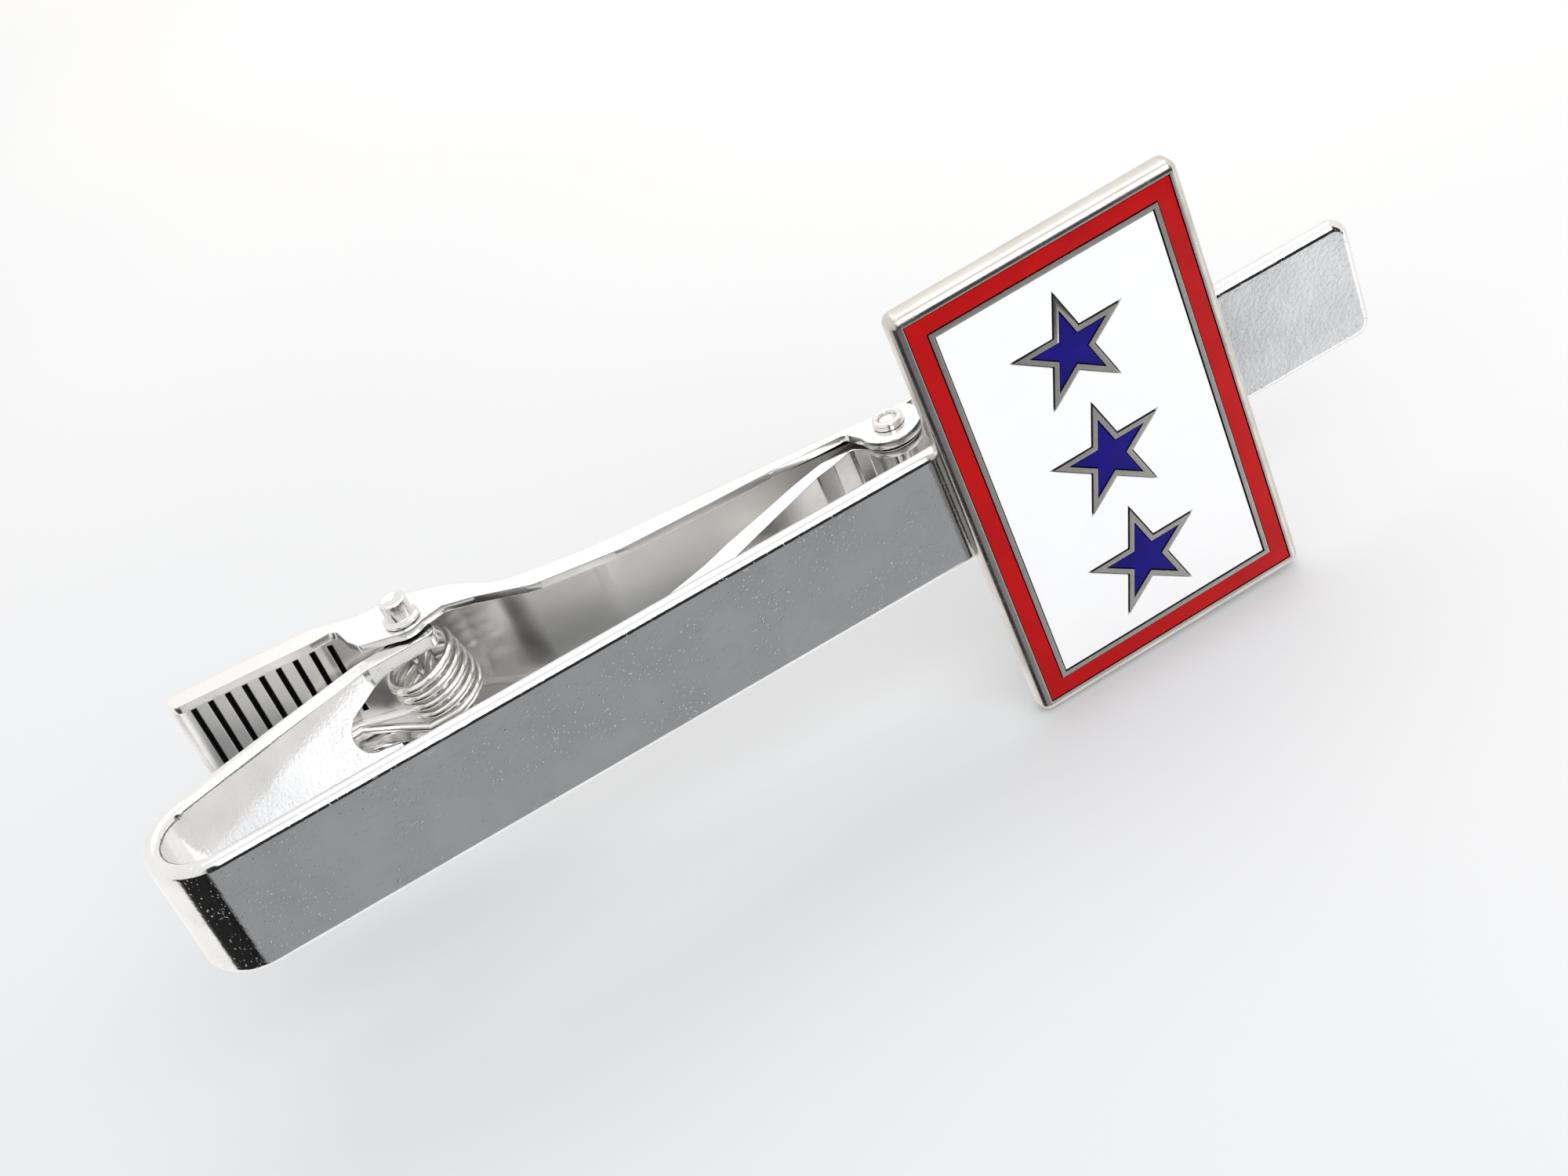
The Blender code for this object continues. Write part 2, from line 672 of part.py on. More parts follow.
def main():
    for obj in list(bpy.data.objects):
        bpy.data.objects.remove(obj)
    parts = bpy.data.collections.new("tie_clip")
    cutters = bpy.data.collections.new("tie_clip_cutters")
    bpy.context.scene.collection.children.link(parts)
    bpy.context.scene.collection.children.link(cutters)

    build_front_bar(parts, cutters)
    lever = build_lever(parts, cutters)
    shoe = build_jaw_shoe(parts, cutters)
    build_pivot_pin(parts)
    shoe_pin = build_shoe_pin(parts)
    build_torsion_spring(parts)
    build_badge(parts, cutters)

    lever_axis = axis_empty("lever_axis", PIVOT, parts)
    shoe_axis = axis_empty("shoe_axis", SHOE_PIN, parts, lever_axis)
    hang(lever, lever_axis)
    hang(shoe_pin, lever_axis)
    hang(shoe, shoe_axis)

    for cutter in cutters.objects:
        cutter.hide_render = True
        cutter.display_type = "WIRE"
    shade(parts)


main()
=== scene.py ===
"""Looks of the tie clip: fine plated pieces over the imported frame, soft studio light and the camera.

Side-view outlines are drawn in X and Y and pulled out along Z. Lengths are in millimetres until a
mesh is made, and every mesh is in metres.
"""

import math

import bmesh
import bpy
from mathutils import Matrix, Vector

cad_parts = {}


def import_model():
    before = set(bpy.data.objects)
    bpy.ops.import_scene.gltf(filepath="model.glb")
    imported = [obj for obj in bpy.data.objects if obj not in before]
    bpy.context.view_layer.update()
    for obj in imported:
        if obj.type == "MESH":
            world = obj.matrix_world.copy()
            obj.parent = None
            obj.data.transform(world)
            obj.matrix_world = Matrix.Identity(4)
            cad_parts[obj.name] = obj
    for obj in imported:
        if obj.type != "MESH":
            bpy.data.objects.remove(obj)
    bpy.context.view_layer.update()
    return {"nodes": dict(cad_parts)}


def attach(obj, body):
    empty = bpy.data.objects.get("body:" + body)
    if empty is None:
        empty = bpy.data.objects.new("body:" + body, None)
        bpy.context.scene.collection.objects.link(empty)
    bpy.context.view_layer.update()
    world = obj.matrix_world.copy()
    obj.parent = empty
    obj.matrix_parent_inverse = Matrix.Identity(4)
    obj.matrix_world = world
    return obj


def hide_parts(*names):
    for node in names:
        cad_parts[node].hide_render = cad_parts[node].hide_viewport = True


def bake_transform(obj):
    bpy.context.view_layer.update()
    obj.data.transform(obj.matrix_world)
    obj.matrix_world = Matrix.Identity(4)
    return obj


MM = 0.001

# The sizes below are those of the CAD pieces that they replace.
BAR_THICK = 0.9
BAR_HALF_WIDTH = 3.2
BAR_RIGHT = 15.0
BAR_END_RADIUS = 0.9
BAR_EDGE_RADIUS = 0.4
FOLD_CENTRE = (-43.05, 2.15)
FOLD_OUTER = 3.05
ARM_SLOPE = math.radians(17.5)
ARM_BEND_X = -33.95
ARM_END_X = -30.15
PAST_ARM_X = -28.0
TAPER_START_X = -44.0
ARM_HALF_WIDTH = 2.75
SLOT_LEFT = -35.8
SLOT_END_RADIUS = 1.3
SLOT_HALF_WIDTH = 2.0
SLOT_WIDE_X = -33.0

PIVOT = (-31.15, 8.75)
PIN_FIT = 0.02
PIN_SEAT_GAP = 0.03
EAR_RADIUS = 1.0
EAR_INNER = 2.35
EAR_FOOT_Y = 7.7
PIVOT_RADIUS = 0.5
PIVOT_FLANGE_RADIUS = 0.9
PIVOT_FLANGE_HEIGHT = 0.25
PIVOT_HEAD_RADIUS = 0.68
PIVOT_HEAD_HEIGHT = 1.2

SHEET = 0.45
LEVER_HALF_WIDTH = 3.3
LEVER_INNER_HALF_WIDTH = 2.85
LEVER_CORNER = 0.55
LEVER_RIGHT = -5.9
LEVER_EAR_RADIUS = 1.5
PIVOT_EAR_RADIUS = 1.1
PIVOT_FIT = 0.05
WEB_ENDS = (-44.5, -4.5)
WEB_TIP = (-16.2, 5.85)
WEB_TIP_SLOPE = 0.1612
GRIP_CURL = (-42.2, 13.38)
GRIP_CURL_SLOPE = 0.78
VALLEY_COUNT = 9
VALLEY_FIRST = -41.62
VALLEY_PITCH = 0.87
VALLEY_DEPTH = 0.22
VALLEY_HALF = 0.14
VALLEY_REACH = 2.1
GROOVE_DEPTH = 0.15
GROOVE_HALF = 0.27
HOLLOW_CORNER = 0.4

SHOE_PIN = (-7.7, 2.9)
SHOE_PIN_RADIUS = 0.45
SHOE_PIN_HEAD = 0.75
SHOE_PIN_HEAD_HEIGHT = 0.35
SHOE_PIN_DIMPLE = 0.42
SHOE_HALF_WIDTH = 2.65
SHOE_INNER_HALF_WIDTH = 2.25
SHOE_BUMP_RADIUS = 1.33
SHOE_GAP = 0.05
SHOE_FIT = 0.03

WIRE = 0.44
COIL_CENTRE = (-31.15, 8.5, 0)
COIL_TILT = math.radians(12)
COIL_RADIUS = 1.75
COIL_TURNS = 4.5
COIL_PITCH = 0.6
COIL_STEPS = 32

BADGE_CENTRE_Z = -0.415
BADGE_TILT = math.radians(1.0)
BADGE_FRONT = -2.38
BADGE_BACK = -1.04
BADGE_SIZE = (14.7, 23.04)
RIM = 0.52
RED_WIDTH = 0.92
SEPARATOR = 0.24
ENAMEL_DEPTH = 0.5
ENAMEL_GAP = 0.035
BADGE_CORNER = 0.5
BADGE_EDGE_RADIUS = 0.42
WHITE_GAP = 0.06
STAR_TIP = 2.92
STAR_WALL = 0.25
STAR_SPACING = 6.08
STAR_MIDDLE = -0.36

ROOM_WARM = (1.03, 1.01, 0.985, 1)
ROOM_COOL = (0.985, 1.0, 1.02, 1)
FLOOR_Z = -12.1
# Floor colours with painted light: the near colour paints shade, the far colour paints light.
FLOOR_NEAR_PAINTED_SHADE = (0.65, 0.665, 0.69)
FLOOR_FAR_PAINTED_LIGHT = (0.82, 0.815, 0.81)

# The camera's place in millimetres, its right and up directions, and its lens.
CAMERA_PLACE = (-33.45, -94.77, 66.40)
CAMERA_RIGHT = (0.8571, -0.3925, -0.3335)
CAMERA_UP = (0.4925, 0.4347, 0.7540)
CAMERA_LENS = 59.7


# ---------------------------------------------------------------- shapes


def rounded(corners, steps=10):
    """A closed outline from (x, y, radius) corners. A corner with a radius becomes an arc."""
    points = []
    for index, (x, y, radius) in enumerate(corners):
        corner = Vector((x, y))
        if radius == 0:
            points.append(corner)
            continue
        before = (Vector(corners[index - 1][:2]) - corner).normalized()
        after = (Vector(corners[(index + 1) % len(corners)][:2]) - corner).normalized()
        half = before.angle(after) / 2
        centre = corner + (before + after).normalized() * radius / math.sin(half)
        start = corner + before * radius / math.tan(half) - centre
        end = corner + after * radius / math.tan(half) - centre
        turn = start.angle_signed(end)
        for step in range(steps + 1):
            points.append(centre + Matrix.Rotation(-turn * step / steps, 2) @ start)
    return [tuple(point) for point in points]


def arc(centre, radius, start, end, steps):
    """Corners without a radius along an arc, with its angles in degrees."""
    corners = []
    for step in range(steps + 1):
        angle = math.radians(start + (end - start) * step / steps)
        corners.append((centre[0] + radius * math.cos(angle), centre[1] + radius * math.sin(angle), 0))
    return corners


def rectangle(width, height, radius=0.0):
    """A rectangle about the origin, with round corners if a radius is given."""
    x = width / 2
    y = height / 2
    return rounded([(-x, -y, radius), (x, -y, radius), (x, y, radius), (-x, y, radius)])


def star(tip, centre_y, wall=0.0):
    """A five-pointed star with one tip up, with its edges moved in by the wall."""
    edge = tip * math.cos(math.radians(72))
    outer = tip * (edge - wall) / edge
    inner = outer * math.cos(math.radians(72)) / math.cos(math.radians(36))
    points = []
    for k in range(10):
        angle = math.radians(90 + 36 * k)
        radius = outer if k % 2 == 0 else inner
        points.append((radius * math.cos(angle), centre_y + radius * math.sin(angle)))
    return points


def linked(name, mesh):
    """An object in the scene for a mesh."""
    obj = bpy.data.objects.new(name, mesh)
    bpy.context.scene.collection.objects.link(obj)
    return obj


def mesh_from_curve(name, curve):
    """Turn a curve drawn in millimetres into a welded mesh object in metres."""
    guide = linked(name + "_curve", curve)
    depsgraph = bpy.context.evaluated_depsgraph_get()
    mesh = bpy.data.meshes.new_from_object(guide.evaluated_get(depsgraph))
    mesh.name = name
    bpy.data.objects.remove(guide)
    bpy.data.curves.remove(curve)
    shape = bmesh.new()
    shape.from_mesh(mesh)
    bmesh.ops.remove_doubles(shape, verts=shape.verts, dist=0.0005)
    bmesh.ops.dissolve_limit(shape, angle_limit=math.radians(0.2), verts=shape.verts, edges=shape.edges)
    bmesh.ops.scale(shape, vec=(MM, MM, MM), verts=shape.verts)
    bmesh.ops.recalc_face_normals(shape, faces=shape.faces)
    shape.to_mesh(mesh)
    shape.free()
    return linked(name, mesh)


def prism(name, outlines, low, high):
    """Pull closed outlines out along the local Z axis, from low to high."""
    curve = bpy.data.curves.new(name, "CURVE")
    curve.dimensions = "2D"
    curve.fill_mode = "BOTH"
    curve.extrude = (high - low) / 2
    for outline in outlines:
        spline = curve.splines.new("POLY")
        spline.points.add(len(outline) - 1)
        spline.use_cyclic_u = True
        for point, (x, y) in zip(spline.points, outline):
            point.co = (x, y, 0, 1)
    obj = mesh_from_curve(name, curve)
    obj.location.z = (low + high) / 2 * MM
    return obj


def plan_prism(name, outline, y_low, y_high):
    """Pull an outline drawn in X and Z out along Y."""
    obj = prism(name, [outline], -(y_high - y_low) / 2, (y_high - y_low) / 2)
    obj.rotation_euler = (math.pi / 2, 0, 0)
    obj.location = (0, (y_low + y_high) / 2 * MM, 0)
    return obj


def rod(name, centre, radius, half_length, sides=64):
    """A cylinder along Z about a point of the side view."""
    mesh = bpy.data.meshes.new(name)
    shape = bmesh.new()
    bmesh.ops.create_cone(
        shape,
        cap_ends=True,
        segments=sides,
        radius1=radius * MM,
        radius2=radius * MM,
        depth=2 * half_length * MM,
    )
    shape.to_mesh(mesh)
    shape.free()
    obj = linked(name, mesh)
    obj.location = (centre[0] * MM, centre[1] * MM, 0)
    return obj


def turned(name, centre, profile, sides=64):
    """A round piece about an axis along Z, from (radius, z) points that run top to bottom."""
    mesh = bpy.data.meshes.new(name)
    vertices = [(radius * MM, 0, z * MM) for radius, z in profile]
    edges = [(k, k + 1) for k in range(len(profile) - 1)]
    mesh.from_pydata(vertices, edges, [])
    obj = linked(name, mesh)
    obj.location = (centre[0] * MM, centre[1] * MM, 0)
    screw = obj.modifiers.new("Turn", "SCREW")
    screw.axis = "Z"
    screw.steps = sides
    screw.render_steps = sides
    screw.use_merge_vertices = True
    screw.merge_threshold = 0.000001
    return obj


def soften(obj, width, segments, angle=60):
    """Round the sharp edges of an object."""
    bevel = obj.modifiers.new("Soft edges", "BEVEL")
    bevel.limit_method = "ANGLE"
    bevel.angle_limit = math.radians(angle)
    bevel.width = width * MM
    bevel.segments = segments
    return bevel


def combine(target, tools, operation):
    """Apply a Boolean with each tool in turn, and remove the tools."""
    for tool in tools:
        modifier = target.modifiers.new(tool.name, "BOOLEAN")
        modifier.operation = operation
        modifier.solver = "EXACT"
        modifier.object = tool
    bake(target)
    for tool in tools:
        bpy.data.objects.remove(tool)


def bake(obj):
    """Apply every modifier and the object's own place, so its mesh is in the frame's axes."""
    bpy.context.view_layer.update()
    depsgraph = bpy.context.evaluated_depsgraph_get()
    mesh = bpy.data.meshes.new_from_object(obj.evaluated_get(depsgraph))
    mesh.transform(obj.matrix_world)
    obj.modifiers.clear()
    obj.data = mesh
    obj.matrix_world = Matrix.Identity(4)


def finish_metal(obj, edge=0.045, angle=38):
    """Break the last sharp edges, and shade the faces smooth with their flats kept flat."""
    bake(obj)
    shape = bmesh.new()
    shape.from_mesh(obj.data)
    bmesh.ops.dissolve_limit(shape, angle_limit=math.radians(0.2), verts=shape.verts, edges=shape.edges)
    shape.to_mesh(obj.data)
    shape.free()
    if edge:
        bevel = soften(obj, edge, 2, angle)
        bevel.use_clamp_overlap = False
        bake(obj)
    obj.data.shade_smooth()
    obj.data.set_sharp_from_angle(angle=math.radians(angle))
    normals = obj.modifiers.new("Flat faces", "WEIGHTED_NORMAL")
    normals.keep_sharp = True
    normals.weight = 100


# ---------------------------------------------------------------- the clip


def arm_height(x):
    """Y of the arm's outer face on its slope."""
    tangent_x = FOLD_CENTRE[0] - FOLD_OUTER * math.sin(ARM_SLOPE)
    tangent_y = FOLD_CENTRE[1] + FOLD_OUTER * math.cos(ARM_SLOPE)
    return tangent_y + (x - tangent_x) * math.tan(ARM_SLOPE)


def bar_outline():
    """Side view of the strip: front, fold, sloping arm and the level seat of the ears."""
    seat = arm_height(ARM_BEND_X)
    inner_bend_x = ARM_BEND_X + BAR_THICK * math.tan(ARM_SLOPE / 2)
    last = 90 + math.degrees(ARM_SLOPE)
    corners = [(BAR_RIGHT, -BAR_THICK, 0)]
    corners += arc(FOLD_CENTRE, FOLD_OUTER, 270, last, 72)
    corners += [(ARM_BEND_X, seat, 2.0), (ARM_END_X, seat, 0)]
    corners += [(ARM_END_X, seat - BAR_THICK, 0), (inner_bend_x, seat - BAR_THICK, 1.1)]
    corners += arc(FOLD_CENTRE, FOLD_OUTER - BAR_THICK, last, 270, 72)
    corners += [(BAR_RIGHT, 0, 0)]
    return rounded(corners)


def round_free_end(bar):
    """Round the two corners of the bar's free end."""
    shape = bmesh.new()
    shape.from_mesh(bar.data)
    bmesh.ops.dissolve_limit(shape, angle_limit=math.radians(0.2), verts=shape.verts, edges=shape.edges)
    corners = []
    for edge in shape.edges:
        first, second = (vert.co / MM for vert in edge.verts)
        if min(first.x, second.x) > BAR_RIGHT - 0.01 and abs(first.y - second.y) > 0.1:
            corners.append(edge)
    bmesh.ops.bevel(
        shape, geom=corners, offset=BAR_END_RADIUS * MM, segments=12, profile=0.5, affect="EDGES"
    )
    shape.to_mesh(bar.data)
    shape.free()


def build_front_bar():
    """The bar, its fold and the forked return arm with two pin ears."""
    bar = prism("bar_strip", [bar_outline()], -BAR_HALF_WIDTH, BAR_HALF_WIDTH)
    round_free_end(bar)
    soften(bar, BAR_EDGE_RADIUS, 4)
    tools = []
    for side in (1, -1):
        taper = [
            (TAPER_START_X, side * (BAR_HALF_WIDTH + 0.02)),
            (ARM_BEND_X, side * ARM_HALF_WIDTH),
            (PAST_ARM_X, side * ARM_HALF_WIDTH),
            (PAST_ARM_X, side * 5.0),
            (TAPER_START_X, side * 5.0),
        ]
        tools.append(plan_prism("arm_taper", taper, 3.3, 12))
    slot = arc((SLOT_LEFT + SLOT_END_RADIUS, 0), SLOT_END_RADIUS, 100, 260, 32)
    slot += [(SLOT_WIDE_X, -SLOT_HALF_WIDTH, 2.0), (PAST_ARM_X, -SLOT_HALF_WIDTH, 0)]
    slot += [(PAST_ARM_X, SLOT_HALF_WIDTH, 0), (SLOT_WIDE_X, SLOT_HALF_WIDTH, 2.0)]
    tools.append(plan_prism("arm_slot", rounded(slot), 5.3, 12))
    combine(bar, tools, "DIFFERENCE")

    ear = arc(PIVOT, EAR_RADIUS, 0, 180, 32)
    ear += [(PIVOT[0] - EAR_RADIUS - 0.5, EAR_FOOT_Y, 0), (PIVOT[0] + EAR_RADIUS, EAR_FOOT_Y, 0)]
    ears = []
    for side in (1, -1):
        low, high = sorted((side * EAR_INNER, side * (ARM_HALF_WIDTH - 0.01)))
        ears.append(prism("ear", [rounded(ear)], low, high))
    combine(bar, ears, "UNION")
    combine(bar, [rod("ear_holes", PIVOT, PIVOT_RADIUS + PIN_FIT, 4)], "DIFFERENCE")
    finish_metal(bar, 0.07)
    return bar


def web_corners():
    """Outer face of the lever's web from the grip to the tip, as (x, y, radius)."""
    return [
        (*GRIP_CURL, 1.2),
        (-34.9, 12.45, 1.1),
        (-32.9, 11.5, 1.0),
        (-30.4, 11.2, 1.5),
        (-28.3, 9.95, 2.0),
        (-26.2, 7.85, 3.0),
        (-22.1, 6.65, 4.0),
        (*WEB_TIP, 8.0),
    ]


def web_line(depth):
    """Points of the web's outer face moved in by a depth, run out past both ends of the lever."""
    left, right = WEB_ENDS
    corners = [(left, GRIP_CURL[1] - (GRIP_CURL[0] - left) * GRIP_CURL_SLOPE, 0)] + web_corners()
    corners += [(right, WEB_TIP[1] - (right - WEB_TIP[0]) * WEB_TIP_SLOPE, 0)]
    smooth = [Vector(point) for point in rounded(corners)]
    moved = []
    for index, point in enumerate(smooth):
        before = smooth[max(index - 1, 0)]
        after = smooth[min(index + 1, len(smooth) - 1)]
        along = (after - before).normalized()
        moved.append((point.x + along.y * depth, point.y - along.x * depth))
    return moved


def height_on(line, x):
    """Y of a left-to-right line of points at x."""
    for (x0, y0), (x1, y1) in zip(line, line[1:]):
        if x0 <= x <= x1:
            return y0 + (y1 - y0) * (x - x0) / (x1 - x0)
    return line[-1][1]


def valley_places():
    """X of each valley across the grip."""
    return [VALLEY_FIRST + VALLEY_PITCH * k for k in range(VALLEY_COUNT)]


def valley_outlines():
    """Narrow valleys across the inner face of the grip, cut up into the web."""
    inner = web_line(SHEET)
    outlines = []
    for x in valley_places():
        left = height_on(inner, x - VALLEY_HALF)
        right = height_on(inner, x + VALLEY_HALF)
        outline = [(x - VALLEY_HALF, left - 0.5), (x + VALLEY_HALF, right - 0.5)]
        outline += [(x + VALLEY_HALF, right - 0.01), (x, height_on(inner, x) + VALLEY_DEPTH)]
        outline += [(x - VALLEY_HALF, left - 0.01)]
        outlines.append(outline)
    return outlines


def groove_outlines():
    """Shallow grooves across the outer face of the grip, halfway between the valleys."""
    outer = web_line(0.0)
    outlines = []
    for x in [place + VALLEY_PITCH / 2 for place in valley_places()[:-2]]:
        left = height_on(outer, x - GROOVE_HALF)
        right = height_on(outer, x + GROOVE_HALF)
        outline = [(x - GROOVE_HALF, left + 0.01), (x, height_on(outer, x) - GROOVE_DEPTH)]
        outline += [(x + GROOVE_HALF, right + 0.01), (x + GROOVE_HALF, 15.0), (x - GROOVE_HALF, 15.0)]
        outlines.append(outline)
    return outlines


def lever_side():
    """Side view that trims the lever: open above the web, and the free edge of its flanges."""
    corners = [(-43.05, 15.5, 0), (LEVER_RIGHT, 15.5, 0), (LEVER_RIGHT, 3.75, 0.3)]
    corners += arc(SHOE_PIN, LEVER_EAR_RADIUS, 30, -180, 40)
    corners += [
        (-9.6, 3.88, 0.5),
        (-13.4, 4.3, 4.0),
        (-16.4, 4.45, 4.0),
        (-21.1, 4.8, 4.0),
        (-25.3, 5.85, 2.5),
        (-27.9, 7.5, 1.0),
        (-29.3, 8.15, 0.4),
    ]
    corners += arc(PIVOT, PIVOT_EAR_RADIUS, -50, -130, 14)
    corners += [
        (-33.5, 8.6, 0.4),
        (-33.85, 9.4, 0.5),
        (-34.1, 10.9, 0.5),
        (-35.4, 10.9, 0.5),
        (-42.35, 11.75, 0.5),
    ]
    return rounded(corners)


def build_lever():
    """The sprung lever: ridged grip, spring housing, channel arm and the ears of the shoe."""
    left, right = WEB_ENDS
    block = web_line(0.0) + [(right, 0.4), (left, 0.4)]
    lever = prism("lever_pressing", [block], -LEVER_HALF_WIDTH, LEVER_HALF_WIDTH)
    soften(lever, LEVER_CORNER, 6)
    bake(lever)
    combine(lever, [prism("side_trim", [lever_side()], -5, 5)], "INTERSECT")
    hollow = web_line(SHEET) + [(right, -0.5), (left, -0.5)]
    inner = LEVER_INNER_HALF_WIDTH
    hollow = prism("hollow", [hollow], -inner, inner)
    soften(hollow, HOLLOW_CORNER, 6)
    tools = [hollow]
    tools += [prism("valley", [outline], -VALLEY_REACH, VALLEY_REACH) for outline in valley_outlines()]
    tools += [prism("groove", [outline], -4, 4) for outline in groove_outlines()]
    tools.append(rod("pivot_hole", PIVOT, PIVOT_RADIUS + PIVOT_FIT, 4))
    tools.append(rod("shoe_hole", SHOE_PIN, SHOE_PIN_RADIUS + PIN_FIT, 4))
    combine(lever, tools, "DIFFERENCE")
    finish_metal(lever, 0.05)
    return lever


def finish_inner_face(lever, dull, shade_and_oxide):
    """Give the lever's inner face a duller plate, and the walls of the grip's valleys a near-black one
    that paints their shade and oxide.
    """
    lever.data.materials.append(dull)
    lever.data.materials.append(shade_and_oxide)
    dull_index = 1
    dark_index = 2
    inner = web_line(SHEET)
    for face in lever.data.polygons:
        x, y, z = face.center / MM
        across = min(abs(x - place) for place in valley_places())
        depth = y - height_on(inner, x)
        if depth > VALLEY_DEPTH + 0.05:
            continue
        # Valley walls get the near-black plate: painted shade and oxide.
        if across < VALLEY_HALF and abs(z) < VALLEY_REACH and depth > 0.02:
            face.material_index = dark_index
        elif depth > -1.0 and abs(z) < LEVER_INNER_HALF_WIDTH:
            face.material_index = dull_index


def shoe_outline():
    """Side view of the shoe: two wings with flat feet, and a bump round the pin."""
    corners = [
        (-20.6, SHOE_GAP, 0),
        (-20.6, 0.55, 0.15),
        (-18.4, 1.2, 1.5),
        (-17.1, 1.76, 1.0),
        (-14.7, 2.6, 1.0),
        (-13.0, 3.22, 1.0),
        (-11.3, 3.72, 1.0),
        (-9.4, 4.0, 0.5),
        (-6.1, 3.35, 0.5),
        (-2.9, 2.85, 0.8),
        (-1.3, 1.75, 0.8),
        (0.4, 1.15, 1.0),
        (2.5, 0.55, 0.15),
        (2.5, SHOE_GAP, 0),
        (0.2, SHOE_GAP, 0.6),
        (-1.9, 1.3, 1.0),
        (-3.7, 2.15, 1.0),
        (-5.9, 2.75, 0.2),
    ]
    corners += arc(SHOE_PIN, SHOE_BUMP_RADIUS, -10, -170, 32)
    corners += [
        (-9.7, 3.45, 0.2),
        (-10.8, 3.09, 0.5),
        (-11.75, 2.88, 0.8),
        (-13.9, 1.95, 1.0),
        (-15.65, 1.2, 1.0),
        (-18.2, SHOE_GAP, 0.6),
    ]
    return rounded(corners)


def build_jaw_shoe():
    """The swivelling shoe: a sheet channel whose two feet press the tie on the bar."""
    shoe = prism("shoe_pressing", [shoe_outline()], -SHOE_HALF_WIDTH, SHOE_HALF_WIDTH)
    left = [
        (-22.0, SHOE_GAP + SHEET),
        (-18.35, SHOE_GAP + SHEET),
        (-15.83, 1.62),
        (-14.08, 2.37),
        (-11.9, 3.31),
        (-10.9, 3.53),
        (-10.9, 5.5),
        (-22.0, 5.5),
    ]
    right = [
        (4.0, SHOE_GAP + SHEET),
        (4.0, 5.5),
        (-4.9, 5.5),
        (-4.9, 3.1),
        (-3.5, 2.6),
        (-1.7, 1.72),
        (0.35, SHOE_GAP + SHEET),
    ]
    under = [(-9.3, 0.5), (-6.1, 0.5), (-6.1, 2.6), (-7.0, 3.38), (-8.4, 3.42), (-9.3, 2.7)]
    inner = SHOE_INNER_HALF_WIDTH
    tools = [prism("shoe_hollow", [outline], -inner, inner) for outline in (left, right, under)]
    tools.append(rod("shoe_hole", SHOE_PIN, SHOE_PIN_RADIUS + SHOE_FIT, 4))
    combine(shoe, tools, "DIFFERENCE")
    finish_metal(shoe, 0.05)
    return shoe


def build_pivot_pin():
    """A pin with a round flange and a crisp cylinder head on each side."""
    seat = LEVER_HALF_WIDTH + PIN_SEAT_GAP
    top = seat + PIVOT_HEAD_HEIGHT
    flange = seat + PIVOT_FLANGE_HEIGHT
    profile = [(0, top - 0.03), (PIVOT_HEAD_RADIUS - 0.25, top - 0.03), (PIVOT_HEAD_RADIUS - 0.17, top)]
    edge = 0.08
    for step in range(5):
        angle = math.radians(90 - 90 * step / 4)
        across = PIVOT_HEAD_RADIUS - edge + edge * math.cos(angle)
        profile.append((across, top - edge + edge * math.sin(angle)))
    profile += [
        (PIVOT_HEAD_RADIUS, flange + 0.06),
        (PIVOT_HEAD_RADIUS + 0.05, flange),
        (PIVOT_FLANGE_RADIUS - 0.1, flange - 0.02),
        (PIVOT_FLANGE_RADIUS, flange - 0.1),
        (PIVOT_FLANGE_RADIUS, seat + 0.04),
        (PIVOT_FLANGE_RADIUS - 0.04, seat),
        (PIVOT_RADIUS, seat),
    ]
    profile += [(radius, -z) for radius, z in reversed(profile)]
    pin = turned("pivot_pin_turned", PIVOT, profile)
    finish_metal(pin, 0)
    return pin


def build_shoe_pin():
    """An eyelet pin: a shank with a rolled, dimpled head on each side."""
    seat = LEVER_HALF_WIDTH + PIN_SEAT_GAP
    top = seat + SHOE_PIN_HEAD_HEIGHT
    roll = (SHOE_PIN_HEAD - SHOE_PIN_DIMPLE) / 2
    middle = SHOE_PIN_DIMPLE + roll
    profile = [(0, top - 0.27), (SHOE_PIN_DIMPLE - 0.1, top - 0.27), (SHOE_PIN_DIMPLE, top - 0.2)]
    for step in range(13):
        angle = math.radians(180 - 180 * step / 12)
        profile.append((middle + roll * math.cos(angle), top - roll + roll * math.sin(angle)))
    profile += [(SHOE_PIN_HEAD, seat), (SHOE_PIN_RADIUS, seat)]
    profile += [(radius, -z) for radius, z in reversed(profile)]
    pin = turned("shoe_pin_turned", SHOE_PIN, profile)
    finish_metal(pin, 0)
    return pin


def spring_route():
    """Arm leg, coil and grip leg of the torsion spring, as points in millimetres."""
    half = COIL_TURNS * COIL_PITCH / 2
    route = [
        (-37.4, arm_height(-37.4) + 0.29, -0.3),
        (-35.3, arm_height(-35.3) + 0.31, -0.5),
        (-33.7, 7.8, -1.2),
        (-32.4, 7.05, -1.55),
    ]
    lean = Matrix.Rotation(-COIL_TILT, 3, "Y")
    total = int(COIL_TURNS * COIL_STEPS)
    for step in range(total + 1):
        angle = math.radians(-90 + 360 * COIL_TURNS * step / total)
        along = -half + 2 * half * step / total
        place = Vector((COIL_RADIUS * math.cos(angle), COIL_RADIUS * math.sin(angle), along))
        route.append(tuple(Vector(COIL_CENTRE) + lean @ place))
    route += [(-33.0, 10.62, 1.0), (-34.6, 11.28, 0.4), (-36.8, 11.9, -0.5)]
    return route


def build_spring():
    """A coil on the pivot pin whose legs press the arm and the grip apart."""
    curve = bpy.data.curves.new("spring", "CURVE")
    curve.dimensions = "3D"
    curve.bevel_depth = WIRE / 2
    curve.bevel_resolution = 4
    curve.use_fill_caps = True
    route = spring_route()
    spline = curve.splines.new("POLY")
    spline.points.add(len(route) - 1)
    for point, place in zip(spline.points, route):
        point.co = (*place, 1)
    spring = mesh_from_curve("spring_coil", curve)
    finish_metal(spring, 0)
    return spring


# ---------------------------------------------------------------- the badge


